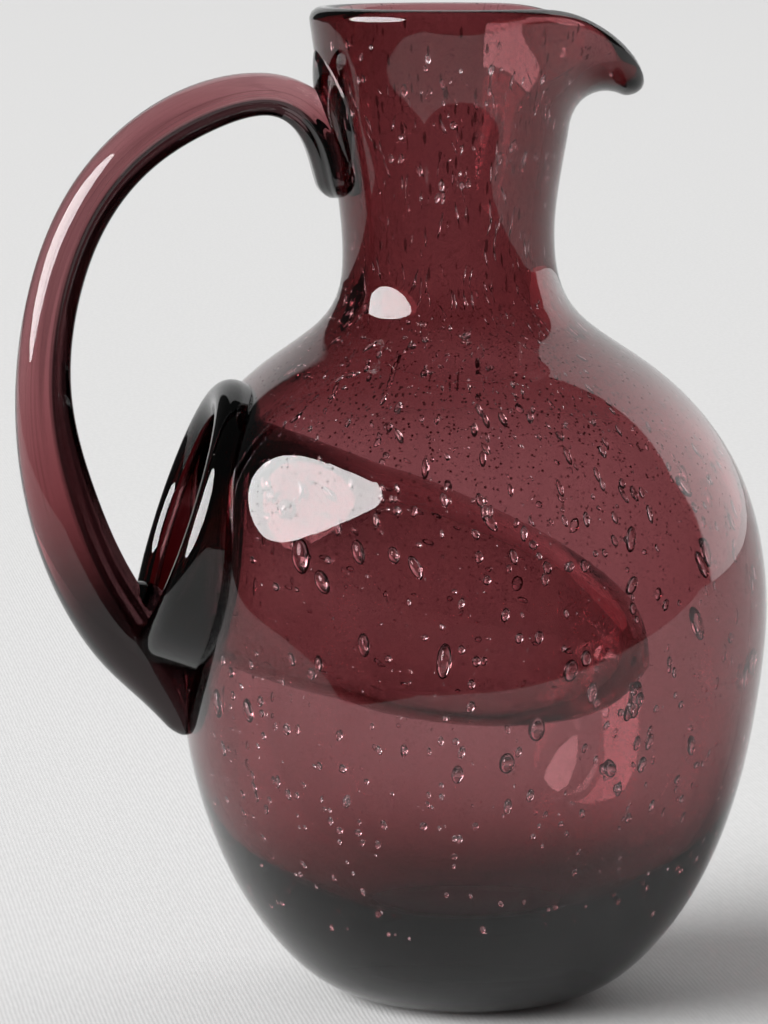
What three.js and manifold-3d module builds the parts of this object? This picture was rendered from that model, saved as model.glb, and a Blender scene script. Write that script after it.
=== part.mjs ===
// Hand-blown seeded glass pitcher with an ice pocket, in millimetres, +Z up.
//
// Origin: centre of the flat ground foot, on the surface that the pitcher stands on.
// +X points to the pouring spout, -X to the handle and to the mouth of the ice pocket.
//
// Four hot-joined pieces of glass:
//   body           one blown gather: belly, shoulder, neck, rolled lip, bent spout, side hole
//   ice_pocket     closed bag that hangs in the belly and opens through the side hole
//   pocket_collar  thick applied ring around the mouth of the bag
//   handle         drawn rod, pressed on the neck, under the collar and on the belly

import * as THREE from 'three';
import { mergeVertices } from 'three/addons/utils/BufferGeometryUtils.js';
import Module from 'manifold-3d';

const wasm = await Module();
wasm.setup();

// ---- Driving dimensions ------------------------------------------------------------------

const GAP = 0.3;                 // clearance drawn between two pieces that are fused in glass

const HEIGHT = 254.3;            // foot to the top of the lip
const FOOT_RADIUS = 27;          // flat ground disc under the base
const BELLY_RADIUS = 74.5;
const LIP_RADIUS = 35;
const WALL = 4;                  // belly and shoulder
const NECK_WALL = 5.8;
const LIP_THICKNESS = 6.4;       // rolled edge
const FLOOR_THICKNESS = 15;      // heavy base
const BASE_SPREAD = 26;          // height over which the base thins out into the wall

// Outside of the body, foot edge to the start of the rolled edge: [radius, height].
const BODY_OUTLINE = [
  [FOOT_RADIUS, 0], [38.5, 4.2], [48, 12.5], [58, 26], [66.8, 45], [73, 70], [BELLY_RADIUS, 94],
  [73, 116], [69.2, 136], [61.5, 150.5], [50.5, 162], [38.5, 170.5], [29.6, 179],
  [27, 190], [27.7, 205], [30.7, 222.5], [LIP_RADIUS, 250.2],
];

// The neck leans towards the handle and the belly swells a little on the spout's side.
const NECK_LEAN = 5.5;
const LEAN_FROM = 118;
const LEAN_TO = 205;
const BELLY_SWELL = 2.6;
const SWELL_HEIGHT = 108;
const SWELL_SPREAD = 26;

// The spout is the neck's wall bent outwards and down around a horizontal axis.
const SPOUT_START = 222.5;       // height where the bend begins
const SPOUT_TURN = THREE.MathUtils.degToRad(135);
const SPOUT_HALF_ANGLE = 0.42;   // how far it spreads around the neck, radians
const SPOUT_SHORTENING = 0.14;   // the bent wall is drawn back by this share
const NECK_MID_RADIUS = 28.7;    // middle of the wall where the bend begins
const LIP_FLARE = 0.165;         // mm outwards per mm of height above the bend

// Ice pocket: a bag whose axis runs down into the belly from the middle of its mouth.
const MOUTH = new THREE.Vector3(-75.9, 0, 126.2);
const POCKET_SLOPE = THREE.MathUtils.degToRad(18.9);
const POCKET_RIM = 3.8;          // depth of the bag's rim behind the plane of the mouth
const POCKET_WALL = 2.8;
const POCKET_TIP_WALL = 5.5;     // the bag is thickest at its round end
const POCKET_TIP = 131;          // depth of the bag's round end
const POCKET_SAG = 2.4;          // the bag droops this much halfway along
// Outside of the bag: [radius, depth].
const POCKET_OUTLINE = [
  [31.4, POCKET_RIM], [31.8, 22], [31.4, 45], [30, 68], [26.4, 92], [20.5, 111], [12.5, 124],
];
const MOUTH_OVAL = 0.92;         // width over height of the mouth, the bag and the collar

const COLLAR_RADIUS = 33;        // middle of the ring's wall
const COLLAR_THICKNESS = 9.2;
const COLLAR_ROOT = 24;          // the ring's wall is cut off by the belly before this depth

// The wall is flattened where the collar sits on it.
const SEAT_FLATTENING = 0.9;
const SEAT_INNER = 34;
const SEAT_OUTER = 56;

// Middle line of the handle, from the curl on the neck to the pointed tail on the belly:
// [x, z, half thickness].
const HANDLE_PATH = [
  [-33.4, 205.6, 4.4], [-34.6, 212, 5.2], [-36.2, 220, 5.9], [-40.4, 227, 5.7],
  [-48.3, 231.6, 5.3], [-58.4, 231.6, 5.7], [-68.6, 228.5, 6.3], [-83.8, 219.4, 6.4],
  [-95.8, 206, 6.4], [-106, 181, 6.5], [-108.6, 155.7, 7.2], [-104.4, 130.2, 9],
  [-95.6, 107.5, 9.8], [-88, 93.5, 9], [-80.6, 80.5, 4.8], [-75.8, 71.5, 1.6],
];
const HANDLE_WIDTH_RATIO = 1.15; // across the handle over its thickness
const ROOT_SPREAD = 1.1;         // added to that ratio where the root is pressed on the neck
const ROOT_SHARE = 0.12;         // share of the length over which the spread dies out
const HANDLE_ROUND_END = 0.022;  // share of the length taken by each round end

// Smear of handle glass pressed up the flared neck above the curl: centre and half sizes.
const PAD_CENTRE = [-35.4, 0, 226];
const PAD_HALF_SIZE = [4.6, 17.5, 20];

const BODY_SEGMENTS = 56;
const OUTLINE_STEPS = 31;
const LIP_STEPS = 5;
const CROWDING = 0.4;            // how much closer the outline's points stand near its end
const POCKET_SEGMENTS = 36;
const POCKET_STEPS = 12;
const COLLAR_STEPS = 7;
const HANDLE_SEGMENTS = 14;
const HANDLE_STEPS = 44;

// ---- Small tools -------------------------------------------------------------------------

const smoothstep = THREE.MathUtils.smoothstep;

function toSolid(geometry) {
  const bare = geometry.clone();
  bare.deleteAttribute('normal');
  bare.deleteAttribute('uv');
  const merged = mergeVertices(bare, 1e-4);
  const corners = [];
  for (let i = 0; i < merged.index.count; i += 3) {
    const triangle = [0, 1, 2].map((k) => merged.index.getX(i + k));
    if (new Set(triangle).size === 3) corners.push(...triangle);
  }
  const vertProperties = new Float32Array(merged.attributes.position.array);
  const triVerts = new Uint32Array(corners);
  return new wasm.Manifold(new wasm.Mesh({ numProp: 3, vertProperties, triVerts }));
}

function toGeometry(solid) {
  const { vertProperties, triVerts } = solid.getMesh();
  const geometry = new THREE.BufferGeometry();
  geometry.setAttribute('position', new THREE.BufferAttribute(vertProperties, 3));
  geometry.setIndex(new THREE.BufferAttribute(triVerts, 1));
  geometry.computeVertexNormals();
  return geometry;
}

// Turns [radius, height] points about +Z.
function turned(points, segments) {
  const profile = points.map(([radius, height]) => new THREE.Vector2(radius, height));
  return new THREE.LatheGeometry(profile, segments).rotateX(Math.PI / 2);
}

// Moves every vertex of a geometry by a function of its position.
function reshaped(geometry, move) {
  const position = geometry.attributes.position;
  const point = new THREE.Vector3();
  for (let i = 0; i < position.count; i += 1) {
    move(point.fromBufferAttribute(position, i));
    position.setXYZ(i, point.x, point.y, point.z);
  }
  return geometry;
}

// Points of a smooth outline, closer together towards its end, pushed along its left-hand
// normal by a distance that may vary.
function offsetOutline(curve, steps, distance) {
  return Array.from({ length: steps + 1 }, (_, i) => {
    const share = (i / steps) * (1 + CROWDING * (1 - i / steps));
    const point = curve.getPointAt(share);
    const tangent = curve.getTangentAt(share);
    const push = distance(point);
    return [point.x - tangent.y * push, point.y + tangent.x * push];
  });
}

function outlineCurve(points) {
  return new THREE.SplineCurve(points.map(([radius, height]) => new THREE.Vector2(radius, height)));
}

// ---- Frame of the pocket's mouth ----------------------------------------------------------

const inward = new THREE.Vector3(Math.cos(POCKET_SLOPE), 0, -Math.sin(POCKET_SLOPE));
const upward = new THREE.Vector3(Math.sin(POCKET_SLOPE), 0, Math.cos(POCKET_SLOPE));
const mouthFrame = new THREE.Matrix4()
  .makeBasis(upward.clone().negate(), new THREE.Vector3(0, 1, 0), inward)
  .setPosition(MOUTH);

function sagBag(point) {
  point.x += POCKET_SAG * Math.sin((Math.PI * Math.max(point.z, 0)) / POCKET_TIP);
}

// A turned shape about the mouth's axis, its depth measured inwards from the mouth's plane.
function turnedAtMouth(points) {
  const straight = turned(points, POCKET_SEGMENTS).scale(1, MOUTH_OVAL, 1);
  return reshaped(straight, sagBag).applyMatrix4(mouthFrame);
}

// ---- Body --------------------------------------------------------------------------------

function bendSpout(point) {
  const along = point.z - SPOUT_START;
  if (along <= 0) return;
  const side = Math.atan2(point.y, point.x);
  const pull = Math.exp(-((side / SPOUT_HALF_ANGLE) ** 2));
  const drawnBack = 1 - SPOUT_SHORTENING * pull;
  const bendRadius = ((HEIGHT - SPOUT_START) * drawnBack) / Math.max(SPOUT_TURN * pull, 1e-4);
  const turn = (along * drawnBack) / bendRadius;
  const straightened = Math.hypot(point.x, point.y) - LIP_FLARE * along * pull;
  const arm = bendRadius - (straightened - NECK_MID_RADIUS);
  const radius = NECK_MID_RADIUS + bendRadius - arm * Math.cos(turn);
  point.x = radius * Math.cos(side);
  point.y = radius * Math.sin(side);
  point.z = SPOUT_START + arm * Math.sin(turn);
}

function leanBody(point) {
  const lean = NECK_LEAN * smoothstep(point.z, LEAN_FROM, LEAN_TO);
  const swell = BELLY_SWELL * Math.exp(-(((point.z - SWELL_HEIGHT) / SWELL_SPREAD) ** 2));
  point.x += swell - lean;
}

function flattenSeat(point) {
  if (point.x > 0) return;
  const height = point.clone().sub(MOUTH).dot(upward);
  const fade = 1 - smoothstep(Math.hypot(height, point.y), SEAT_INNER, SEAT_OUTER);
  const sagitta = point.y ** 2 / (2 * BELLY_RADIUS);
  point.addScaledVector(inward, -SEAT_FLATTENING * sagitta * fade);
}

function shapeBody(point) {
  bendSpout(point);
  leanBody(point);
  flattenSeat(point);
}

const bodyCurve = outlineCurve(BODY_OUTLINE);

function wallAt(point) {
  const heavyBase = (FLOOR_THICKNESS - WALL) * Math.exp(-((point.y / BASE_SPREAD) ** 2));
  const thickNeck = (NECK_WALL - WALL) * smoothstep(point.y, 145, 185);
  const rolledLip = (LIP_THICKNESS - NECK_WALL) * smoothstep(point.y, 215, 245);
  return WALL + heavyBase + thickNeck + rolledLip;
}

// Half-circle from the outside of the lip over its top to the inside.
function lipArc(outside, inside) {
  const centre = [(outside[0] + inside[0]) / 2, (outside[1] + inside[1]) / 2];
  const arm = [outside[0] - centre[0], outside[1] - centre[1]];
  return Array.from({ length: LIP_STEPS - 1 }, (_, i) => {
    const angle = (Math.PI * (i + 1)) / LIP_STEPS;
    const [cos, sin] = [Math.cos(angle), Math.sin(angle)];
    return [centre[0] + arm[0] * cos - arm[1] * sin, centre[1] + arm[1] * cos + arm[0] * sin];
  });
}

function makeBodyShell() {
  const outside = offsetOutline(bodyCurve, OUTLINE_STEPS, () => 0);
  const inside = offsetOutline(bodyCurve, OUTLINE_STEPS, wallAt);
  const lip = lipArc(outside.at(-1), inside.at(-1));
  const profile = [[0, 0], ...outside, ...lip, ...inside.reverse(), [0, FLOOR_THICKNESS]];
  return toSolid(reshaped(turned(profile, BODY_SEGMENTS), shapeBody));
}

// The whole space that the body fills, with the clearance added: what other pieces rest on.
function makeBodySeat() {
  const grown = offsetOutline(bodyCurve, OUTLINE_STEPS, () => -GAP);
  const profile = [[0, -GAP], ...grown, [0, grown.at(-1)[1]]];
  return toSolid(reshaped(turned(profile, BODY_SEGMENTS), shapeBody));
}

// ---- Ice pocket and collar -----------------------------------------------------------------

const pocketCurve = outlineCurve([...POCKET_OUTLINE, [0, POCKET_TIP]]);

function pocketSide(distance) {
  const side = offsetOutline(pocketCurve, POCKET_STEPS, distance);
  side[POCKET_STEPS][0] = 0;
  return side;
}

function pocketWallAt(point) {
  return POCKET_WALL + (POCKET_TIP_WALL - POCKET_WALL) * smoothstep(point.y, 95, POCKET_TIP);
}

function makePocket() {
  const outside = pocketSide(() => 0);
  const inside = pocketSide(pocketWallAt).reverse();
  return toSolid(turnedAtMouth([...inside, ...outside]));
}

// The bag's outside with the clearance added, carried on outwards through the wall.
function makePocketHole() {
  const grown = pocketSide(() => -GAP);
  const [rimRadius] = grown[0];
  return toSolid(turnedAtMouth([[0, -30], [rimRadius, -30], ...grown]));
}

function collarRing(growth) {
  const half = COLLAR_THICKNESS / 2;
  const thick = half + growth;
  const front = Array.from({ length: COLLAR_STEPS + 1 }, (_, i) => {
    const angle = (Math.PI * i) / COLLAR_STEPS;
    return [COLLAR_RADIUS - thick * Math.cos(angle), half - thick * Math.sin(angle)];
  });
  const ring = [[COLLAR_RADIUS - thick, COLLAR_ROOT], ...front, [COLLAR_RADIUS + thick, COLLAR_ROOT]];
  return toSolid(turnedAtMouth([...ring, ring[0]]));
}

// ---- Handle --------------------------------------------------------------------------------

const handleCurve = new THREE.CatmullRomCurve3(
  HANDLE_PATH.map(([x, z, half]) => new THREE.Vector3(x, z, half)),
);

// A straight rod with round ends, one unit long and one unit in radius.
function unitRod() {
  const profile = Array.from({ length: HANDLE_STEPS + 1 }, (_, i) => {
    const station = (1 - Math.cos((Math.PI * i) / HANDLE_STEPS)) / 2;
    const even = i / HANDLE_STEPS;
    const along = 0.35 * station + 0.65 * even;
    const fromEnd = Math.min(along, 1 - along, HANDLE_ROUND_END) / HANDLE_ROUND_END;
    return [Math.sqrt(1 - (1 - fromEnd) ** 2), along];
  });
  return turned(profile, HANDLE_SEGMENTS);
}

function bendRod(point) {
  const along = THREE.MathUtils.clamp(point.z, 0, 1);
  const { x, y: z, z: half } = handleCurve.getPoint(along);
  const tangent = handleCurve.getTangent(along).setZ(0).normalize();
  const widthRatio = HANDLE_WIDTH_RATIO + ROOT_SPREAD * (1 - smoothstep(along, 0, ROOT_SHARE));
  point.set(
    x + half * point.x * tangent.y,
    half * widthRatio * point.y,
    z - half * point.x * tangent.x,
  );
}

function makeHandle() {
  const rod = toSolid(reshaped(unitRod(), bendRod));
  const pad = new THREE.SphereGeometry(1, 18, 12)
    .scale(...PAD_HALF_SIZE)
    .rotateY(-Math.atan(LIP_FLARE))
    .translate(...PAD_CENTRE);
  return rod.add(toSolid(pad));
}

// ---- Assembly --------------------------------------------------------------------------------

const bodySeat = makeBodySeat();
const pocketHole = makePocketHole();

const body = makeBodyShell().subtract(pocketHole);
const pocket = makePocket();
const collar = collarRing(0).subtract(bodySeat).subtract(pocketHole);
const handle = makeHandle().subtract(bodySeat).subtract(collarRing(GAP));

const amethyst = { color: 0x6b2f39, roughness: 0.05, metalness: 0 };
const deepAmethyst = { color: 0x3a171d, roughness: 0.05, metalness: 0 };

const pitcher = new THREE.Group();

function addPiece(name, solid, finish) {
  const mesh = new THREE.Mesh(toGeometry(solid), new THREE.MeshStandardMaterial(finish));
  mesh.name = name;
  pitcher.add(mesh);
}

addPiece('body', body, amethyst);
addPiece('ice_pocket', pocket, amethyst);
addPiece('pocket_collar', collar, deepAmethyst);
addPiece('handle', handle, deepAmethyst);

export default pitcher;
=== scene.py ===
"""Seeded amethyst glass pitcher with an ice pocket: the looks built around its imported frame.

Lengths in the tables below are design millimetres; MM turns them into metres and is measured on
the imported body. The foot's centre is the origin, +X points to the spout and -X to the handle.
"""

import math
import random

import bmesh
import bpy
import numpy as np
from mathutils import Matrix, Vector


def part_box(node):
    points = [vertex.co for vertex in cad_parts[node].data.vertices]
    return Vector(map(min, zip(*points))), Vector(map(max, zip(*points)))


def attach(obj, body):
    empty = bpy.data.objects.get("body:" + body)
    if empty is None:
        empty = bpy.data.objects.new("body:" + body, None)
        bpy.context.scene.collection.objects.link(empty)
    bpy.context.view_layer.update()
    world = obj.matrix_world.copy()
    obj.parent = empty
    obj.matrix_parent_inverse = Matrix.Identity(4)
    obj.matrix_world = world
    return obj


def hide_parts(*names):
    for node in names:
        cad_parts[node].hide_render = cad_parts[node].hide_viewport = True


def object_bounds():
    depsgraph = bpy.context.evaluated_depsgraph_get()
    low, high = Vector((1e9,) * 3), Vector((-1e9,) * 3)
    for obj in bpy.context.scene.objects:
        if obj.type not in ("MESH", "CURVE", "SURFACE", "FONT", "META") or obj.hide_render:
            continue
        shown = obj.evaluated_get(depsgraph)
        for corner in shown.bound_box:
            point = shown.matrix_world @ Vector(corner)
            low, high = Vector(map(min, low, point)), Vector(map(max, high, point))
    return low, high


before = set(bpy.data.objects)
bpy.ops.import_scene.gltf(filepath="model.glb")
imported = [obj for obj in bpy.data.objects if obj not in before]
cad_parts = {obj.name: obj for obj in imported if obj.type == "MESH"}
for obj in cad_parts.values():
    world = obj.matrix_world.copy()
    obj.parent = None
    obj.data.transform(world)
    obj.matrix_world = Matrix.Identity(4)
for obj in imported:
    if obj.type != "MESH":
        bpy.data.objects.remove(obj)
CAD_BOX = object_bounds()

# ---- Size, measured on the frame -----------------------------------------------------------------

DESIGN_BODY_HEIGHT = 253.8
BODY_LOW, BODY_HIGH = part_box("body")
MM = (BODY_HIGH.z - BODY_LOW.z) / DESIGN_BODY_HEIGHT

# ---- Body ----------------------------------------------------------------------------------------

LIP_HEIGHT = 254.3
BELLY_RADIUS = 74.5
WALL = 4.0
NECK_WALL = 5.8
LIP_THICKNESS = 6.4
FLOOR_THICKNESS = 15.0
BASE_SPREAD = 26.0
# Outside of the body from the pontil mark to the start of the rolled lip: (radius, height).
BODY_OUTLINE = [
    (0, 0.7), (9, 0.6), (19, 0.3), (26, 0.05), (38.5, 4.2), (48, 12.5), (58, 26), (66.8, 45),
    (73, 70), (BELLY_RADIUS, 94), (73, 116), (69.2, 136), (61.5, 150.5), (50.5, 162),
    (38.5, 170.5), (29.6, 179), (27, 190), (27.7, 205), (30.7, 222.5), (35, 250.2),
]
NECK_THICKENS = (145, 185)    # heights between which the wall grows to the neck's
LIP_THICKENS = (215, 245)     # and to the lip's
BODY_RINGS = 112
LIP_RINGS = 16
BODY_SEGMENTS = 164

NECK_LEAN = 5.5           # the neck stands this much nearer the handle
LEAN_FROM, LEAN_TO = 118, 205
WAIST = 0.034             # the throat is a little narrower across the spout than along it
WAIST_HEIGHT, WAIST_SPREAD = 230.5, 15.5
NECK_DROP = 7.0           # the neck's foot sits lower on one flank
DROP_HEIGHT, DROP_SPREAD = 188, 16
BELLY_SWELL = 2.6         # the belly is fuller on the spout's side
SWELL_HEIGHT, SWELL_SPREAD = 108, 26

SPOUT_START = 222.5       # height where the bend begins
SPOUT_TURN = math.radians(135)
SPOUT_HALF_ANGLE = 0.42   # how far it spreads around the neck, radians
SPOUT_SHORTENING = 0.14   # the bent wall is drawn back by this share
NECK_MID_RADIUS = 28.7    # middle of the wall where the bend begins
LIP_FLARE = 0.165         # outwards, over the height above the bend

SEAT_FLATTENING = 0.79    # share of the belly's roundness lost where the collar sits
SEAT_INNER, SEAT_OUTER = 27.5, 66

# ---- Ice pocket and collar -----------------------------------------------------------------------

MOUTH = np.array([-75.9, 0.0, 126.2])
POCKET_SLOPE = math.radians(18.9)
POCKET_WALL = 2.8
POCKET_TIP_WALL = 5.5
POCKET_TIP = 131             # depth of the bag's round end
POCKET_TIP_THICKENS = 95     # depth from which the wall grows to the tip's
POCKET_SAG = 2.4             # the bag droops this much halfway along
# Outside of the bag: (radius, depth behind the plane of the mouth).
POCKET_OUTLINE = [
    (31.4, 3.8), (31.8, 22), (31.4, 45), (30, 68), (26.4, 92), (20.5, 111), (12.5, 124),
    (0, POCKET_TIP),
]
POCKET_RINGS = 84
POCKET_RIM_POINTS = 8
POCKET_SEGMENTS = 160
HOLE_START = -30             # the belly's hole is cut from this far outside the mouth's plane
MOUTH_OVAL = 0.92            # width over height of the mouth, the bag and the collar
COLLAR_RADIUS = 32           # middle of the ring's wall
COLLAR_THICKNESS = 11.2
COLLAR_ROOT = 24             # the ring is cut off by the belly before this depth
COLLAR_RINGS = 28
COLLAR_SEGMENTS = 192

# ---- Handle --------------------------------------------------------------------------------------

# Middle line from the curl on the neck to the tail on the belly: (x, z, half thickness).
HANDLE_PATH = [
    (-33.4, 205.6, 4.4), (-34.6, 212, 5.2), (-36.2, 220, 5.9), (-40.4, 227, 5.7),
    (-48.3, 231.6, 5.3), (-58.4, 231.6, 5.7), (-68.6, 228.5, 6.3), (-83.8, 219.4, 6.4),
    (-95.8, 206, 6.4), (-106, 181, 6.5), (-108.6, 155.7, 7.2), (-104.4, 130.2, 9),
    (-95.6, 107.5, 9.8), (-86.8, 93.5, 9.4), (-78.2, 80.5, 6.2), (-72.4, 69, 2.6),
]
HANDLE_WIDTH_RATIO = 1.15
HANDLE_ROUND_END = 5.0
HANDLE_RINGS = 300
HANDLE_SEGMENTS = 64
ROOT_SPREAD, ROOT_SHARE = 1.1, 0.12     # the root is pressed wider on the neck
RIB_COUNT, RIB_HEIGHT = 13, 0.016       # lines drawn along the inner side of the rod
RIBS_FADE_IN = (1.2, 2.0)               # turn from the outer side, radians
FOLD_TURN, FOLD_WIDTH, FOLD_DEPTH = 2.35, 0.33, 0.13
PAD_CENTRE = (-34.2, 0, 226)            # handle glass pressed up the neck above the curl
PAD_HALF_SIZE = (4.6, 17.5, 21)
WEB_CENTRE = (-84.5, 0, 104)            # where the foot and the collar have run together
WEB_HALF_SIZE = (6.5, 5, 5)
LUMP_RINGS, LUMP_SEGMENTS = 40, 64

FUSED = 0.25    # how deep two pieces of hot-joined glass run into each other

# ---- Curves and meshes ---------------------------------------------------------------------------


def smoothstep(value, low, high):
    share = np.clip((value - low) / (high - low), 0.0, 1.0)
    return share * share * (3.0 - 2.0 * share)


def evenly(points, count):
    """The same polyline as count points at equal distances along it."""
    steps = np.linalg.norm(np.diff(points, axis=0), axis=1)
    length = np.concatenate([[0.0], np.cumsum(steps)])
    wanted = np.linspace(0.0, length[-1], count)
    return np.column_stack([np.interp(wanted, length, column) for column in points.T])


def curve_through(points, count, softening=0):
    """A smooth curve (natural cubic spline) through the points, evenly spaced."""
    rows = np.array(points, float)
    steps = np.linalg.norm(np.diff(rows[:, :2], axis=0), axis=1)
    knots = np.concatenate([[0.0], np.cumsum(steps)])
    slope = np.diff(rows, axis=0) / steps[:, None]
    system = np.eye(len(rows))
    right = np.zeros_like(rows)
    for i in range(1, len(rows) - 1):
        system[i, i - 1:i + 2] = steps[i - 1], 2 * (steps[i - 1] + steps[i]), steps[i]
        right[i] = 6 * (slope[i] - slope[i - 1])
    bend = np.linalg.solve(system, right)
    fine = np.linspace(0, knots[-1], 40 * len(rows))
    k = np.clip(np.searchsorted(knots, fine, side="right") - 1, 0, len(rows) - 2)
    step = steps[k][:, None]
    after = (fine - knots[k])[:, None] / step
    before = 1 - after
    curve = before * rows[k] + after * rows[k + 1] + step**2 / 6 * (
        (before**3 - before) * bend[k] + (after**3 - after) * bend[k + 1])
    curve = evenly(curve, count)
    for _ in range(softening):
        curve[1:-1] = 0.5 * curve[1:-1] + 0.25 * (curve[:-2] + curve[2:])
    return curve


def offset(curve, distance):
    """A (radius, height) curve pushed along its left-hand normal."""
    tangent = np.gradient(curve, axis=0)
    tangent /= np.linalg.norm(tangent, axis=1)[:, None]
    normal = np.column_stack([-tangent[:, 1], tangent[:, 0]])
    return curve + normal * np.reshape(distance, (-1, 1))


def half_circle(start, end, count):
    """Points of the half circle that bulges left of the way from start to end, without its ends."""
    centre, arm = (start + end) / 2, (start - end) / 2
    turn = np.linspace(0, math.pi, count + 2)[1:-1, None]
    side = np.array([-arm[1], arm[0]])
    return centre + arm * np.cos(turn) + side * np.sin(turn)


def lathe(profile, segments):
    """Turns a (radius, height) profile about Z. It runs from axis to axis, or closes on itself.

    Returns the points in rings and the faces between them. A profile that runs up its outer
    side, with the axis on its left, gives faces that look outwards.
    """
    profile = np.asarray(profile, float)
    closed = profile[0, 0] > 1e-6
    angles = np.arange(segments) * (2 * math.pi / segments)
    body = profile if closed else profile[1:-1]
    radius = body[:, 0:1]
    rings = np.stack([
        radius * np.cos(angles), radius * np.sin(angles), np.repeat(body[:, 1:2], segments, 1),
    ], axis=2)
    points = rings.reshape(-1, 3)
    count = len(body)
    faces = []
    for ring in range(count if closed else count - 1):
        low, high = ring * segments, ((ring + 1) % count) * segments
        for a in range(segments):
            b = (a + 1) % segments
            faces.append((low + a, low + b, high + b, high + a))
    if not closed:
        start, end = len(points), len(points) + 1
        points = np.vstack([points, [0, 0, profile[0, 1]], [0, 0, profile[-1, 1]]])
        last = (count - 1) * segments
        for a in range(segments):
            b = (a + 1) % segments
            faces.append((start, b, a))
            faces.append((end, last + a, last + b))
    return points, faces


def mesh_object(name, points, faces):
    mesh = bpy.data.meshes.new(name)
    mesh.from_pydata((np.asarray(points) * MM).tolist(), [], faces)
    mesh.shade_smooth()
    thing = bpy.data.objects.new(name, mesh)
    bpy.context.scene.collection.objects.link(thing)
    return thing


def trim(piece, cutter, operation="DIFFERENCE"):
    """Cuts one closed object by another for good, or joins it to it."""
    modifier = piece.modifiers.new("trim", "BOOLEAN")
    modifier.operation = operation
    modifier.object = cutter
    modifier.solver = "MANIFOLD"
    graph = bpy.context.evaluated_depsgraph_get()
    cut = bpy.data.meshes.new_from_object(piece.evaluated_get(graph))
    cut.materials.clear()
    piece.modifiers.remove(modifier)
    piece.data = cut


def soften_edges(piece, angle=40):
    piece.data.shade_smooth()
    piece.data.set_sharp_from_angle(angle=math.radians(angle))


# ---- Body ----------------------------------------------------------------------------------------


def bend_spout(points):
    """The neck's wall above SPOUT_START is bent outwards and down around a horizontal axis."""
    x, y, z = points.T
    along = np.maximum(z - SPOUT_START, 0.0)
    side = np.arctan2(y, x)
    pull = np.exp(-((side / SPOUT_HALF_ANGLE) ** 2))
    drawn_back = 1 - SPOUT_SHORTENING * pull
    bend_radius = (LIP_HEIGHT - SPOUT_START) * drawn_back / np.maximum(SPOUT_TURN * pull, 1e-4)
    turn = along * drawn_back / bend_radius
    straightened = np.hypot(x, y) - LIP_FLARE * along * pull
    arm = bend_radius - (straightened - NECK_MID_RADIUS)
    radius = NECK_MID_RADIUS + bend_radius - arm * np.cos(turn)
    bent = np.column_stack([
        radius * np.cos(side), radius * np.sin(side), SPOUT_START + arm * np.sin(turn),
    ])
    return np.where((z > SPOUT_START)[:, None], bent, points)


def lean_body(points):
    z = points[:, 2]
    lean = NECK_LEAN * smoothstep(z, LEAN_FROM, LEAN_TO)
    swell = BELLY_SWELL * np.exp(-(((z - SWELL_HEIGHT) / SWELL_SPREAD) ** 2))
    moved = points.copy()
    moved[:, 0] += swell - lean
    moved[:, 1] *= 1 - WAIST * np.exp(-(((z - WAIST_HEIGHT) / WAIST_SPREAD) ** 2))
    flank = np.clip(-points[:, 1] / np.maximum(np.hypot(*points[:, :2].T), 1e-6), 0, 1) ** 2
    moved[:, 2] -= NECK_DROP * flank * np.exp(-(((z - DROP_HEIGHT) / DROP_SPREAD) ** 2))
    return moved


INWARD = np.array([math.cos(POCKET_SLOPE), 0, -math.sin(POCKET_SLOPE)])
UPWARD = np.array([math.sin(POCKET_SLOPE), 0, math.cos(POCKET_SLOPE)])


def flatten_seat(points):
    """The belly's wall is flattened where the collar sits on it."""
    height = (points - MOUTH) @ UPWARD
    fade = 1 - smoothstep(np.hypot(height, points[:, 1]), SEAT_INNER, SEAT_OUTER)
    sagitta = points[:, 1] ** 2 / (2 * BELLY_RADIUS)
    shift = np.where(points[:, 0] > 0, 0.0, -SEAT_FLATTENING * sagitta * fade)
    return points + INWARD * shift[:, None]


def shape_body(points):
    return flatten_seat(lean_body(bend_spout(points)))


def wall_at(curve):
    height = curve[:, 1]
    heavy_base = (FLOOR_THICKNESS - WALL) * np.exp(-((height / BASE_SPREAD) ** 2))
    thick_neck = (NECK_WALL - WALL) * smoothstep(height, *NECK_THICKENS)
    rolled_lip = (LIP_THICKNESS - NECK_WALL) * smoothstep(height, *LIP_THICKENS)
    return WALL + heavy_base + thick_neck + rolled_lip


body_outside = curve_through(BODY_OUTLINE, BODY_RINGS, softening=4)
body_inside = offset(body_outside, wall_at(body_outside))
body_inside[0, 0] = 0.0


def make_body():
    lip = half_circle(body_outside[-1], body_inside[-1], LIP_RINGS)
    profile = np.vstack([body_outside, lip, body_inside[::-1]])
    points, faces = lathe(profile, BODY_SEGMENTS)
    return mesh_object("body_glass", shape_body(points), faces)


def body_space(growth):
    """Everything inside the body's outside, grown by that much."""
    grown = offset(body_outside, np.full(BODY_RINGS, -growth))
    grown[0, 0] = 0.0
    profile = np.vstack([grown, [(0, grown[-1, 1])]])
    points, faces = lathe(profile, BODY_SEGMENTS)
    return mesh_object("body_space", shape_body(points), faces)


# ---- Ice pocket and collar -----------------------------------------------------------------------


def at_mouth(points):
    """From depth along the mouth's axis (Z), and down across it (X), to the row's frame."""
    down, across, depth = points.T
    sag = POCKET_SAG * np.sin(math.pi * np.maximum(depth, 0) / POCKET_TIP)
    return (
        MOUTH
        - np.outer(down + sag, UPWARD)
        + np.outer(across * MOUTH_OVAL, [0, 1, 0])
        + np.outer(depth, INWARD)
    )


pocket_outside = curve_through(POCKET_OUTLINE, POCKET_RINGS, softening=4)


def pocket_side(distance):
    side = offset(pocket_outside, distance)
    side[-1, 0] = 0.0
    return side


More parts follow.
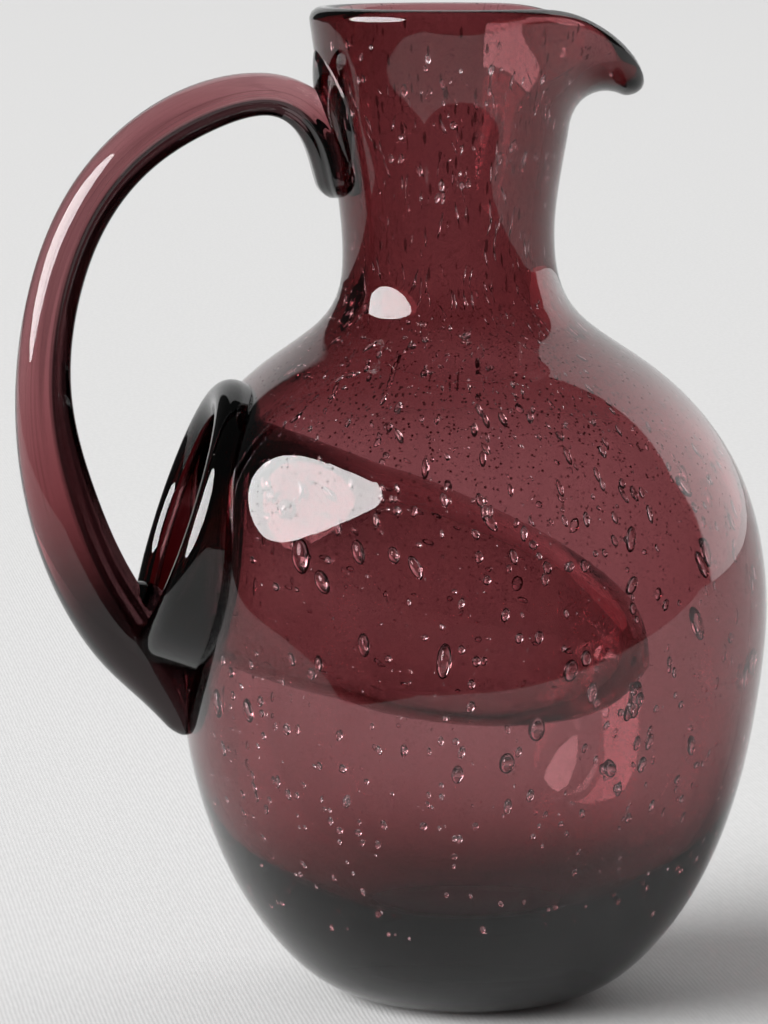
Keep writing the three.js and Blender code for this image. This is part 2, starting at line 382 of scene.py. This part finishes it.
def make_pocket():
    depth = pocket_outside[:, 1]
    tip_share = smoothstep(depth, POCKET_TIP_THICKENS, POCKET_TIP)
    wall = POCKET_WALL + (POCKET_TIP_WALL - POCKET_WALL) * tip_share
    inside = pocket_side(wall)
    rim = half_circle(pocket_outside[0], inside[0], POCKET_RIM_POINTS)[::-1]
    profile = np.vstack([inside[::-1], rim, pocket_outside])
    points, faces = lathe(profile, POCKET_SEGMENTS)
    return mesh_object("ice_pocket_glass", at_mouth(points), faces)


def pocket_space(name, start):
    """The bag's outside, carried on outwards to that depth."""
    grown = pocket_side(np.full(POCKET_RINGS, FUSED))
    profile = np.vstack([[(0, start), (grown[0, 0], start)], grown])
    points, faces = lathe(profile, POCKET_SEGMENTS)
    return mesh_object(name, at_mouth(points), faces)


def collar_ring(name, growth):
    half = COLLAR_THICKNESS / 2
    thick = half + growth
    turn = np.linspace(0, math.pi, COLLAR_RINGS)
    front = np.column_stack([COLLAR_RADIUS - thick * np.cos(turn), half - thick * np.sin(turn)])
    inner = [(COLLAR_RADIUS - thick, COLLAR_ROOT)]
    outer = [(COLLAR_RADIUS + thick, COLLAR_ROOT)]
    points, faces = lathe(np.vstack([inner, front, outer]), COLLAR_SEGMENTS)
    return mesh_object(name, at_mouth(points), faces)


# ---- Handle --------------------------------------------------------------------------------------


def drawn_section(points):
    """How far each point of the rod's round section is moved: a fold and ribs on the inner side."""
    turn = np.arctan2(np.abs(points[:, 1]), points[:, 0])
    fold = FOLD_DEPTH * np.exp(-(((turn - FOLD_TURN) / FOLD_WIDTH) ** 2))
    ribs = RIB_HEIGHT * smoothstep(turn, *RIBS_FADE_IN) * np.cos(RIB_COUNT * turn)
    return 1 - fold + ribs


handle_path = curve_through(HANDLE_PATH, HANDLE_RINGS, softening=10)
handle_way = np.gradient(handle_path[:, :2], axis=0)
handle_way /= np.linalg.norm(handle_way, axis=1)[:, None]
handle_out = np.column_stack([handle_way[:, 1], -handle_way[:, 0]])


def make_handle():
    steps = np.linalg.norm(np.diff(handle_path[:, :2], axis=0), axis=1)
    along = np.concatenate([[0.0], np.cumsum(steps)])
    from_end = np.minimum(np.minimum(along, along[-1] - along) / HANDLE_ROUND_END, 1.0)
    swelling = np.sqrt(np.maximum(1 - (1 - from_end) ** 2, 0))
    points, faces = lathe(np.column_stack([swelling, along]), HANDLE_SEGMENTS)
    place = np.clip(np.searchsorted(along, points[:, 2] - 1e-6), 0, HANDLE_RINGS - 1)
    middle, half, outwards = handle_path[place, :2], handle_path[place, 2], handle_out[place]
    width_ratio = HANDLE_WIDTH_RATIO + ROOT_SPREAD * (
        1 - smoothstep(points[:, 2] / along[-1], 0, ROOT_SHARE))
    section = drawn_section(points)
    out, across = points[:, 0] * section, points[:, 1] * section
    bent = np.column_stack([
        middle[:, 0] + half * out * outwards[:, 0],
        half * width_ratio * across,
        middle[:, 1] + half * out * outwards[:, 1],
    ])
    return mesh_object("handle_glass", bent, faces)


def mark_rod(piece):
    """Keeps in the mesh how far along the rod and how near its inner side each point lies."""
    count = len(piece.data.vertices)
    flat = np.empty(3 * count)
    piece.data.vertices.foreach_get("co", flat)
    across = flat.reshape(-1, 3)[:, None, ::2] / MM - handle_path[None, :, :2]
    nearest = np.argmin((across**2).sum(axis=2), axis=1)
    out = (across[np.arange(count), nearest] * handle_out[nearest]).sum(axis=1)
    inner = 0.5 - 0.5 * out / handle_path[nearest, 2]
    for name, values in (("inner", inner), ("along", nearest / (HANDLE_RINGS - 1))):
        attribute = piece.data.attributes.new(name, "FLOAT", "POINT")
        attribute.data.foreach_set("value", values)


def make_lump(name, centre, half_size, lean=0.0, bend_radius=math.inf):
    """An egg-shaped lump of glass, tipped by that angle and wrapped round a wall of that radius."""
    turn = np.linspace(0, math.pi, LUMP_RINGS)
    points, faces = lathe(np.column_stack([np.sin(turn), -np.cos(turn)]), LUMP_SEGMENTS)
    x, y, z = (points * np.array(half_size)).T
    x = x + y**2 / (2 * bend_radius)
    leaned = np.column_stack([
        x * math.cos(lean) - z * math.sin(lean), y, x * math.sin(lean) + z * math.cos(lean),
    ])
    return mesh_object(name, leaned + np.array(centre), faces)


# ---- Seeds: air bubbles in the glass -------------------------------------------------------------


def ball(detail):
    """Points and faces of a unit sphere; its faces look inwards, because a seed holds no glass."""
    shape = bmesh.new()
    bmesh.ops.create_icosphere(shape, subdivisions=detail, radius=1.0)
    points = np.array([vertex.co for vertex in shape.verts])
    faces = [tuple(vertex.index for vertex in reversed(face.verts)) for face in shape.faces]
    shape.free()
    return points, faces


BALLS = [ball(1), ball(2), ball(3)]
BALL_BREADTHS = (0.3, 1.25)      # half breadths from which a seed gets the next finer ball


class Seeds:
    """Collects bubbles, then joins them to a piece as hollows in its mesh."""

    def __init__(self, seed):
        self.random = random.Random(seed)
        self.points, self.faces, self.count = [], [], 0

    def add(self, centre, axes, half_sizes, shape):
        """One bubble: half sizes along three axes, then moved by shape, as its glass was."""
        points, faces = BALLS[sum(half_sizes[1] >= breadth for breadth in BALL_BREADTHS)]
        bubble = centre + (points * half_sizes) @ np.array(axes)
        self.points.append(shape(bubble))
        self.faces += [tuple(self.count + i for i in face) for face in faces]
        self.count += len(points)

    def join(self, piece):
        air = mesh_object("air", np.vstack(self.points), self.faces)
        whole = bmesh.new()
        whole.from_mesh(piece.data)
        whole.from_mesh(air.data)
        whole.to_mesh(piece.data)
        whole.free()
        bpy.data.objects.remove(air)


def in_wall(outline, wall, ring, turn, depth):
    """Centre and axes (along the outline, around, outwards) of a place inside a turned wall."""
    along = outline[ring + 1] - outline[ring]
    along /= np.linalg.norm(along)
    outwards = np.array([along[1], -along[0]])
    radius, height = outline[ring] - outwards * depth * wall[ring]
    cos, sin = math.cos(turn), math.sin(turn)
    centre = np.array([radius * cos, radius * sin, height])
    axes = [
        (along[0] * cos, along[0] * sin, along[1]),
        (-sin, cos, 0),
        (outwards[0] * cos, outwards[0] * sin, outwards[1]),
    ]
    return centre, np.array(axes)


# Lowest and highest place, how many, breadth range and how much longer than broad.
BODY_SEEDS = [
    (206, 246, 90, (0.3, 0.8), (1.2, 2.6)),
    (172, 238, 380, (0.12, 0.3), (5, 14)),
    (148, 185, 700, (0.16, 0.3), (1, 4)),
    (128, 182, 300, (0.4, 1.0), (1.5, 3.2)),
    (62, 145, 700, (0.16, 0.3), (1, 2.2)),
    (50, 140, 340, (0.45, 1.15), (1.1, 2.2)),
    (60, 140, 60, (1.25, 2.1), (1.3, 2.4)),
    (24, 66, 160, (0.3, 0.8), (1, 2)),
]
SEEDY_SIDE = 1.5        # spread around the -Y flank, which has more of them
SMALL_SEEDS = 1.6       # above 1, small seeds are commoner than large ones
SEED_THINNESS = 0.85    # across the wall, over breadth
SEED_SHARE = 0.36       # no seed takes more of the wall to either side of its middle
SEED_COVER = 0.3        # glass left between a seed and the surface
SEED_TILT = 0.22
CLEAR_OF_MOUTH = 41     # no seeds this near the middle of the pocket's mouth


def seed_body(seeds):
    draw = seeds.random
    wall = wall_at(body_outside)
    for low, high, count, breadths, stretches in BODY_SEEDS:
        rings = np.nonzero((body_outside[:, 1] > low) & (body_outside[:, 1] < high))[0]
        weights = body_outside[rings, 0].tolist()
        for _ in range(count):
            ring = draw.choices(rings.tolist(), weights)[0]
            turn = draw.gauss(-math.pi / 2, SEEDY_SIDE)
            breadth = breadths[0] + (breadths[1] - breadths[0]) * draw.random() ** SMALL_SEEDS
            length = breadth * draw.uniform(*stretches)
            thickness = min(breadth * SEED_THINNESS, SEED_SHARE * wall[ring])
            room = (thickness + SEED_COVER) / wall[ring]
            centre, axes = in_wall(body_outside, wall, ring, turn, draw.uniform(room, 1 - room))
            tilt = draw.gauss(0, SEED_TILT)
            leaned = np.array([
                axes[0] * math.cos(tilt) + axes[1] * math.sin(tilt),
                axes[1] * math.cos(tilt) - axes[0] * math.sin(tilt),
                axes[2],
            ])
            placed = lean_body(centre[None])[0]
            across_mouth = placed - MOUTH - INWARD * ((placed - MOUTH) @ INWARD)
            if placed[0] < 0 and np.linalg.norm(across_mouth) < CLEAR_OF_MOUTH:
                continue
            seeds.add(centre, leaned, (length, breadth, thickness), shape_body)


# How many, breadth range and how much longer than broad.
POCKET_SEEDS = [(150, (0.1, 0.3), (1, 2.5)), (50, (0.35, 0.8), (1.1, 2.2))]
POCKET_SEED_SHARE = 0.3
POCKET_SEED_COVER = 0.25
POCKET_CLEAR_RINGS = 8  # none near the bag's rim or its tip


def seed_pocket(seeds):
    draw = seeds.random
    wall = np.full(POCKET_RINGS, POCKET_WALL)
    for count, breadths, stretches in POCKET_SEEDS:
        for _ in range(count):
            ring = draw.randrange(POCKET_CLEAR_RINGS, POCKET_RINGS - POCKET_CLEAR_RINGS)
            breadth = draw.uniform(*breadths)
            thickness = min(breadth * SEED_THINNESS, POCKET_SEED_SHARE * POCKET_WALL)
            room = (thickness + POCKET_SEED_COVER) / POCKET_WALL
            turn = draw.uniform(-math.pi, math.pi)
            depth = 1 - draw.uniform(room, 1 - room)
            centre, axes = in_wall(pocket_outside, wall, ring, turn, depth)
            length = breadth * draw.uniform(*stretches)
            seeds.add(centre, axes, (length, breadth, thickness), at_mouth)


body = make_body()
seat = body_space(-FUSED)
pocket = make_pocket()
hole = pocket_space("hole", HOLE_START)
trim(body, hole)
collar = collar_ring("pocket_collar_glass", 0)
trim(collar, seat)
trim(collar, pocket_space("bag_space", POCKET_OUTLINE[0][1] - POCKET_WALL / 2))
handle = make_handle()
pad = make_lump("pad", PAD_CENTRE, PAD_HALF_SIZE, math.atan(LIP_FLARE), NECK_MID_RADIUS)
trim(handle, pad, "UNION")
trim(handle, make_lump("web", WEB_CENTRE, WEB_HALF_SIZE), "UNION")
trim(handle, seat)
trim(handle, collar_ring("collar_space", -FUSED))
for tool in ("body_space", "hole", "bag_space", "pad", "web", "collar_space"):
    bpy.data.objects.remove(bpy.data.objects[tool])
for piece in (body, pocket, collar, handle):
    soften_edges(piece)
mark_rod(handle)

body_seeds = Seeds(7)
seed_body(body_seeds)
body_seeds.join(body)
pocket_seeds = Seeds(11)
seed_pocket(pocket_seeds)
pocket_seeds.join(pocket)

# ---- Glass ---------------------------------------------------------------------------------------

GLASS_IOR = 1.5
AMETHYST = (0.512, 0.047, 0.088)
AMETHYST_DENSITY = 320
POCKET_DENSITY = 160
COLLAR_DENSITY = 1100
HANDLE_DENSITY = 145
CORD_TINT = (0.96, 0.93, 0.95)
# Painted shade: the colour of dark specks and streaks that stand in for the dark look of tiny seeds
PAINTED_SEED_SHADE = (0.07, 0.03, 0.03)
# Painted shade: the dark colour painted on the bag near its mouth and on the rod's inner side and
# foot
PAINTED_SHADE_COLOUR = (0.014, 0.011, 0.012)

DRAWN_OUT = (1, 1, 0.2)          # stretches a pattern five times along the height
CORD_SCALE, CORD_RELIEF = 170, 0.16
WAVE_SCALE, WAVE_STRENGTH, WAVE_HEIGHT = 38, 0.22, 0.0004
# Heights in metres between which the painted seed shade on the shoulder comes and goes, and turns
# to streaks.
SEED_SHADE_COMES, SEED_SHADE_GOES, SEED_SHADE_STREAKS = (0.105, 0.145), (0.165, 0.190), (0.160, 0.190)
# The bag's painted shade fades over this depth behind its mouth, and starts over this height across
# it.
BAG_SHADE_DEPTH, BAG_SHADE_RISE = (0.010, 0.060), (-0.002, 0.018)
# Painted shade on the rod, in shares of it: across from its outer to its inner side, and along from
# neck to tail.
ROD_SHADE_ACROSS, ROD_SHADE_ALONG = (0.585, 0.665), (0.68, 0.84)
FOOT_WEAR = (0.0004, 0.0016)     # height in metres over which the ground foot turns clear


def new_material(name):
    material = bpy.data.materials.new(name)
    material.use_nodes = True
    tree = material.node_tree
    tree.nodes.clear()
    return material, tree


def add_node(tree, kind, **settings):
    made = tree.nodes.new(kind)
    for name, value in settings.items():
        setattr(made, name, value)
    return made


def surface_shader(tree):
    output = add_node(tree, "ShaderNodeOutputMaterial")
    shader = add_node(tree, "ShaderNodeBsdfPrincipled")
    tree.links.new(shader.outputs["BSDF"], output.inputs["Surface"])
    return shader


def feed(tree, socket, value):
    """Links a node's output to a socket, or sets a plain value on it."""
    if isinstance(value, bpy.types.NodeSocket):
        tree.links.new(value, socket)
    else:
        socket.default_value = value


def math_node(tree, operation, first, second=0.0):
    made = add_node(tree, "ShaderNodeMath", operation=operation)
    feed(tree, made.inputs[0], first)
    feed(tree, made.inputs[1], second)
    return made.outputs[0]


def noise_node(tree, place, scale, detail=2.0, distortion=0.0):
    made = add_node(tree, "ShaderNodeTexNoise")
    made.inputs["Scale"].default_value = scale
    made.inputs["Detail"].default_value = detail
    made.inputs["Distortion"].default_value = distortion
    tree.links.new(place, made.inputs["Vector"])
    return made.outputs["Fac"]


def range_node(tree, value, low, high, to_low, to_high):
    made = add_node(tree, "ShaderNodeMapRange", interpolation_type="SMOOTHSTEP")
    tree.links.new(value, made.inputs["Value"])
    for name, number in (
        ("From Min", low), ("From Max", high), ("To Min", to_low), ("To Max", to_high),
    ):
        made.inputs[name].default_value = number
    return made.outputs["Result"]


def mix_node(tree, kind, share, first, second):
    made = add_node(tree, "ShaderNodeMix", data_type=kind)
    for name, value in (("Factor", share), ("A", first), ("B", second)):
        feed(tree, made.inputs[name], value)
    return made.outputs["Result"]


def mix_colours(tree, share, first, second):
    """From first, a colour or a node's output, to second, a colour."""
    if isinstance(first, tuple):
        first = (*first, 1)
    return mix_node(tree, "RGBA", share, first, (*second, 1))


def stretched(tree, factors):
    place = add_node(tree, "ShaderNodeTexCoord").outputs["Object"]
    made = add_node(tree, "ShaderNodeMapping")
    made.inputs["Scale"].default_value = factors
    tree.links.new(place, made.inputs["Vector"])
    return made.outputs["Vector"]


def specks_node(tree, place, cells, share, radius):
    """1 inside small round specks: that share of the cells has one, of that radius in cells."""
    made = add_node(tree, "ShaderNodeTexVoronoi")
    made.inputs["Scale"].default_value = cells
    tree.links.new(place, made.inputs["Vector"])
    near = range_node(tree, made.outputs["Distance"], 0.6 * radius, radius, 1.0, 0.0)
    parts = add_node(tree, "ShaderNodeSeparateColor")
    tree.links.new(made.outputs["Color"], parts.inputs["Color"])
    chosen = math_node(tree, "LESS_THAN", parts.outputs["Red"], share)
    return math_node(tree, "MULTIPLY", near, chosen)


def along_node(tree, way, start):
    """How far a point lies from start along a direction, in metres."""
    place = add_node(tree, "ShaderNodeTexCoord").outputs["Object"]
    made = add_node(tree, "ShaderNodeVectorMath", operation="DOT_PRODUCT")
    tree.links.new(place, made.inputs[0])
    made.inputs[1].default_value = way
    return math_node(tree, "SUBTRACT", made.outputs["Value"], float(start @ way) * MM)


def cords_node(tree):
    """Fine upright cords drawn out by the blowing."""
    return noise_node(tree, stretched(tree, DRAWN_OUT), CORD_SCALE, detail=2, distortion=0.5)


def corded_colour(tree):
    """Nearly clear, a little deeper along the cords."""
    tint = range_node(tree, cords_node(tree), 0.35, 0.75, 0.0, 1.0)
    return mix_colours(tree, tint, (1, 1, 1), CORD_TINT)


def seed_shaded_colour(tree):
    """Painted shade: dark specks stand in for the dark look of tiny seeds, most on the shoulder;
    drawn out to streaks in the neck.
    """
    height = along_node(tree, (0, 0, 1), np.zeros(3))
    shoulder = math_node(
        tree, "MULTIPLY",
        range_node(tree, height, *SEED_SHADE_COMES, 0.2, 1.0),
        range_node(tree, height, *SEED_SHADE_GOES, 1.0, 0.3),
    )
    specks = specks_node(tree, stretched(tree, (1, 1, 1)), 700, 0.25, 0.32)
    neck = range_node(tree, height, *SEED_SHADE_STREAKS, 0.0, 0.9)
    streaks = specks_node(tree, stretched(tree, DRAWN_OUT), 600, 0.18, 0.3)
    seed_shade = math_node(
        tree, "MAXIMUM",
        math_node(tree, "MULTIPLY", specks, shoulder),
        math_node(tree, "MULTIPLY", streaks, neck),
    )
    return mix_colours(tree, seed_shade, corded_colour(tree), PAINTED_SEED_SHADE)


def shaded_bag_colour(tree):
    """Painted shade: the bag's glass is painted dark above the middle of its mouth, fading away
    behind it.
    """
    inwards = range_node(tree, along_node(tree, INWARD, MOUTH), *BAG_SHADE_DEPTH, 0.95, 0.0)
    above = range_node(tree, along_node(tree, UPWARD, MOUTH), *BAG_SHADE_RISE, 0.0, 1.0)
    painted_shade = math_node(tree, "MULTIPLY", inwards, above)
    return mix_colours(tree, painted_shade, corded_colour(tree), PAINTED_SHADE_COLOUR)


def shaded_rod_colour(tree):
    """Painted shade: the rod is painted dark along its inner side and at its foot, with faint
    streaks of painted shade.
    """
    inner = add_node(tree, "ShaderNodeAttribute", attribute_name="inner").outputs["Fac"]
    along = add_node(tree, "ShaderNodeAttribute", attribute_name="along").outputs["Fac"]
    around = add_node(tree, "ShaderNodeCombineXYZ")
    tree.links.new(math_node(tree, "MULTIPLY", inner, 22), around.inputs["X"])
    tree.links.new(math_node(tree, "MULTIPLY", along, 1.2), around.inputs["Y"])
    streak = noise_node(tree, around.outputs[0], 1.0, detail=3)
    shifted = math_node(tree, "ADD", inner, math_node(tree, "MULTIPLY", streak, 0.10))
    # Painted shade: a dark band on the inner side, darkness at the foot and faint dark streaks
    band = range_node(tree, shifted, *ROD_SHADE_ACROSS, 0.0, 1.0)
    foot = range_node(tree, along, *ROD_SHADE_ALONG, 0.0, 0.97)
    faint = range_node(tree, streak, 0.52, 0.74, 0.0, 0.5)
    painted_shade = math_node(tree, "MAXIMUM", math_node(tree, "MAXIMUM", band, foot), faint)
    return mix_colours(tree, painted_shade, corded_colour(tree), PAINTED_SHADE_COLOUR)


def glass(name, density, colour_of):
    """Amethyst glass with the waves and cords left by the blowing, and a worn foot."""
    material, tree = new_material(name)
    shader = surface_shader(tree)
    output = next(made for made in tree.nodes if made.type == "OUTPUT_MATERIAL")
    shader.inputs["IOR"].default_value = GLASS_IOR
    shader.inputs["Transmission Weight"].default_value = 1.0
    absorb = add_node(tree, "ShaderNodeVolumeAbsorption")
    absorb.inputs["Color"].default_value = (*AMETHYST, 1)
    absorb.inputs["Density"].default_value = density
    tree.links.new(absorb.outputs["Volume"], output.inputs["Volume"])
    tree.links.new(colour_of(tree), shader.inputs["Base Color"])

    place = stretched(tree, (1, 1, 1))
    waves = noise_node(tree, place, WAVE_SCALE, detail=0)
    bump = add_node(tree, "ShaderNodeBump")
    bump.inputs["Strength"].default_value = WAVE_STRENGTH
    bump.inputs["Distance"].default_value = WAVE_HEIGHT
    cords = math_node(tree, "MULTIPLY", cords_node(tree), CORD_RELIEF)
    relief = math_node(tree, "ADD", cords, waves)
    tree.links.new(relief, bump.inputs["Height"])
    tree.links.new(bump.outputs["Normal"], shader.inputs["Normal"])

    wear = range_node(tree, noise_node(tree, place, 30, detail=4), 0.55, 0.8, 0.0, 0.03)
    height = along_node(tree, (0, 0, 1), np.zeros(3))
    foot = range_node(tree, height, *FOOT_WEAR, 0.35, 0.0)
    tree.links.new(math_node(tree, "ADD", wear, foot), shader.inputs["Roughness"])
    return material


body.data.materials.append(glass("amethyst_glass", AMETHYST_DENSITY, seed_shaded_colour))
pocket.data.materials.append(glass("pocket_glass", POCKET_DENSITY, shaded_bag_colour))
collar.data.materials.append(glass("collar_glass", COLLAR_DENSITY, corded_colour))
handle.data.materials.append(glass("handle_glass", HANDLE_DENSITY, shaded_rod_colour))

# ---- Floor ---------------------------------------------------------------------------------------

FLOOR_HALF_SIZE = 60.0
FLOOR_DROP = 0.0003
LINEN = (0.605, 0.602, 0.6)
LINEN_SHADE = tuple(0.965 * part for part in LINEN)
THREAD_PITCH = 0.0012
# The glass mirrors the front and left edges of the cloth, and the dark room beyond them; that room
# is painted shade, a near-black floor beyond the edges that camera rays don't see.
CLOTH_FRONT = -0.62
CLOTH_LEFT, CLOTH_LEFT_SLOPE = -0.767, -0.656
PAINTED_ROOM_SHADE = (0.05, 0.05, 0.05)


def make_floor():
    half = FLOOR_HALF_SIZE
    corners = [(-half, -half), (half, -half), (half, half), (-half, half)]
    mesh = bpy.data.meshes.new("floor")
    mesh.from_pydata([(x, y, -FLOOR_DROP) for x, y in corners], [], [(0, 1, 2, 3)])
    mesh.materials.append(linen())
    floor = bpy.data.objects.new("floor", mesh)
    bpy.context.scene.collection.objects.link(floor)
    return floor


def linen():
    """Plain pale cloth: threads, a little uneven. Painted reflection: beyond two edges it turns
    near-black to all rays but camera rays, so mirrored in the glass it has two edges.
    """
    material, tree = new_material("linen")
    shader = surface_shader(tree)
    shader.inputs["Roughness"].default_value = 0.9
    shader.inputs["Specular IOR Level"].default_value = 0.0
    place = add_node(tree, "ShaderNodeTexCoord").outputs["Object"]
    parts = add_node(tree, "ShaderNodeSeparateXYZ")
    tree.links.new(place, parts.inputs[0])
    x, y = parts.outputs["X"], parts.outputs["Y"]

    thread = add_node(tree, "ShaderNodeTexWave", wave_type="BANDS", bands_direction="X")
    thread.inputs["Scale"].default_value = math.pi / 10 / THREAD_PITCH
    thread.inputs["Distortion"].default_value = 1.5
    thread.inputs["Detail Scale"].default_value = 0.4
    tree.links.new(place, thread.inputs["Vector"])
    slubs = noise_node(tree, stretched(tree, (1, 0.35, 1)), 560, detail=2)
    threads = math_node(tree, "MULTIPLY", thread.outputs["Fac"], 0.5)
    height = math_node(tree, "ADD", threads, slubs)
    bump = add_node(tree, "ShaderNodeBump")
    bump.inputs["Strength"].default_value = 0.13
    bump.inputs["Distance"].default_value = 0.0003
    tree.links.new(height, bump.inputs["Height"])
    tree.links.new(bump.outputs["Normal"], shader.inputs["Normal"])

    flecks = range_node(tree, slubs, 0.35, 0.65, 0.0, 1.0)
    cloth = mix_colours(tree, flecks, LINEN_SHADE, LINEN)
    # Painted shade: beyond the cloth's front and left edges the floor turns near-black, except to
    # camera rays
    slant = math_node(tree, "MULTIPLY", y, -CLOTH_LEFT_SLOPE)
    from_left = math_node(tree, "ADD", math_node(tree, "SUBTRACT", x, CLOTH_LEFT), slant)
    from_front = math_node(tree, "SUBTRACT", y, CLOTH_FRONT)
    on_cloth = range_node(
        tree, math_node(tree, "MINIMUM", from_left, from_front), -0.004, 0.004, 0.0, 1.0)
    camera_ray = add_node(tree, "ShaderNodeLightPath").outputs["Is Camera Ray"]
    shown = math_node(tree, "MAXIMUM", on_cloth, camera_ray)
    cloth_or_painted_room = mix_node(tree, "RGBA", shown, (*PAINTED_ROOM_SHADE, 1), cloth)
    tree.links.new(cloth_or_painted_room, shader.inputs["Base Color"])
    return material


make_floor()

# ---- Light and camera ----------------------------------------------------------------------------

BACKDROP = 0.73          # radiance of the pale backdrop behind the pitcher
SIDE_WALL = 2.1          # radiance of the white wall on the right
FILL = 0.22              # more light for the cloth only, from above
DARK_ROOM = 0.045        # radiance of the room on the camera's side
BACKDROP_TOP = 1.65      # height of the backdrop over its distance
SIDE_TOP = 0.3           # more height on the right
BACKDROP_FRONT = 0.10    # how far behind the pitcher it starts
BACKDROP_LEFT = 0.36     # how far it reaches to the left over its distance
LAMP_AZIMUTH = math.radians(-75)
LAMP_ELEVATION = math.radians(23)
LAMP_DISTANCE = 150.0
LAMP_WIDTH = 148.0
LAMP_HEIGHT = 118.0
LAMP_RADIANCE = 13.6


def direction(azimuth, elevation):
    """Unit vector: azimuth 0 is -Y, the camera's side, and 90 degrees is +X."""
    level = math.cos(elevation)
    return Vector((math.sin(azimuth) * level, -math.cos(azimuth) * level, math.sin(elevation)))


def make_world():
    """A pale backdrop behind the pitcher and a dim room in front of it."""
    world = bpy.data.worlds.new("studio")
    bpy.context.scene.world = world
    world.use_nodes = True
    tree = world.node_tree
    tree.nodes.clear()
    output = add_node(tree, "ShaderNodeOutputWorld")
    background = add_node(tree, "ShaderNodeBackground")
    background.inputs["Color"].default_value = (1, 1, 1, 1)
    way = add_node(tree, "ShaderNodeSeparateXYZ")
    tree.links.new(add_node(tree, "ShaderNodeTexCoord").outputs["Generated"], way.inputs[0])
    x, y, z = way.outputs["X"], way.outputs["Y"], way.outputs["Z"]
    height = math_node(tree, "MULTIPLY", y, BACKDROP_TOP)
    more = math_node(tree, "MULTIPLY", math_node(tree, "MAXIMUM", x, 0.0), SIDE_TOP)
    below_top = math_node(tree, "SUBTRACT", math_node(tree, "ADD", height, more), z)
    right_of_left = math_node(tree, "ADD", math_node(tree, "MULTIPLY", y, BACKDROP_LEFT), x)
    behind = math_node(tree, "SUBTRACT", y, BACKDROP_FRONT)
    in_outline = math_node(tree, "MINIMUM", below_top, right_of_left)
    inside = math_node(tree, "MINIMUM", in_outline, behind)
    is_wall = range_node(tree, inside, -0.01, 0.03, 0.0, 1.0)
    wall = range_node(tree, x, 0.2, 1.0, BACKDROP, SIDE_WALL)
    ray = add_node(tree, "ShaderNodeLightPath").outputs
    fill = math_node(tree, "MULTIPLY", ray["Is Diffuse Ray"], FILL)
    room = math_node(tree, "ADD", fill, DARK_ROOM)
    lit = math_node(tree, "ADD", fill, wall)
    around = mix_node(tree, "FLOAT", is_wall, room, lit)
    radiance = mix_node(tree, "FLOAT", ray["Is Camera Ray"], around, BACKDROP)
    tree.links.new(radiance, background.inputs["Strength"])
    tree.links.new(background.outputs["Background"], output.inputs["Surface"])


def make_lamp():
    """A large oval diffuser on the left, in front of the pitcher."""
    data = bpy.data.lights.new("diffuser", "AREA")
    data.shape = "ELLIPSE"
    data.size = LAMP_WIDTH
    data.size_y = LAMP_HEIGHT
    data.energy = LAMP_RADIANCE * math.pi**2 * LAMP_WIDTH * LAMP_HEIGHT / 4
    lamp = bpy.data.objects.new("diffuser", data)
    way = direction(LAMP_AZIMUTH, LAMP_ELEVATION)
    lamp.location = Vector((0, 0, 0.12)) + way * LAMP_DISTANCE
    lamp.rotation_euler = way.to_track_quat("Z", "Y").to_euler()
    lamp.visible_camera = False
    bpy.context.scene.collection.objects.link(lamp)


make_world()
make_lamp()

CAMERA_AZIMUTH = math.radians(-8.97)
CAMERA_ELEVATION = math.radians(7.92)
CAMERA_DISTANCE = 1.2118
CAMERA_LENS = 166.2
AIM_OFFSET = Vector((-0.0018, 0.00375, -0.00205))


def make_camera():
    data = bpy.data.cameras.new("camera")
    data.lens = CAMERA_LENS
    data.clip_end = 50
    camera = bpy.data.objects.new("camera", data)
    aim = (CAD_BOX[0] + CAD_BOX[1]) / 2 + AIM_OFFSET
    back = direction(CAMERA_AZIMUTH, CAMERA_ELEVATION)
    camera.location = aim + back * CAMERA_DISTANCE
    camera.rotation_euler = (-back).to_track_quat("-Z", "Y").to_euler()
    bpy.context.scene.collection.objects.link(camera)
    bpy.context.scene.camera = camera


make_camera()

scene = bpy.context.scene
scene.view_settings.view_transform = "Standard"
scene.cycles.use_denoising = True
scene.cycles.max_bounces = 24
scene.cycles.transmission_bounces = 24
scene.cycles.glossy_bounces = 8
scene.cycles.diffuse_bounces = 3

for piece, node, slot in (
    (body, "body", "amethyst_glass"),
    (pocket, "ice_pocket", "pocket_glass"),
    (collar, "pocket_collar", "collar_glass"),
    (handle, "handle", "handle_glass"),
):
    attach(piece, "root")
    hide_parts(node)
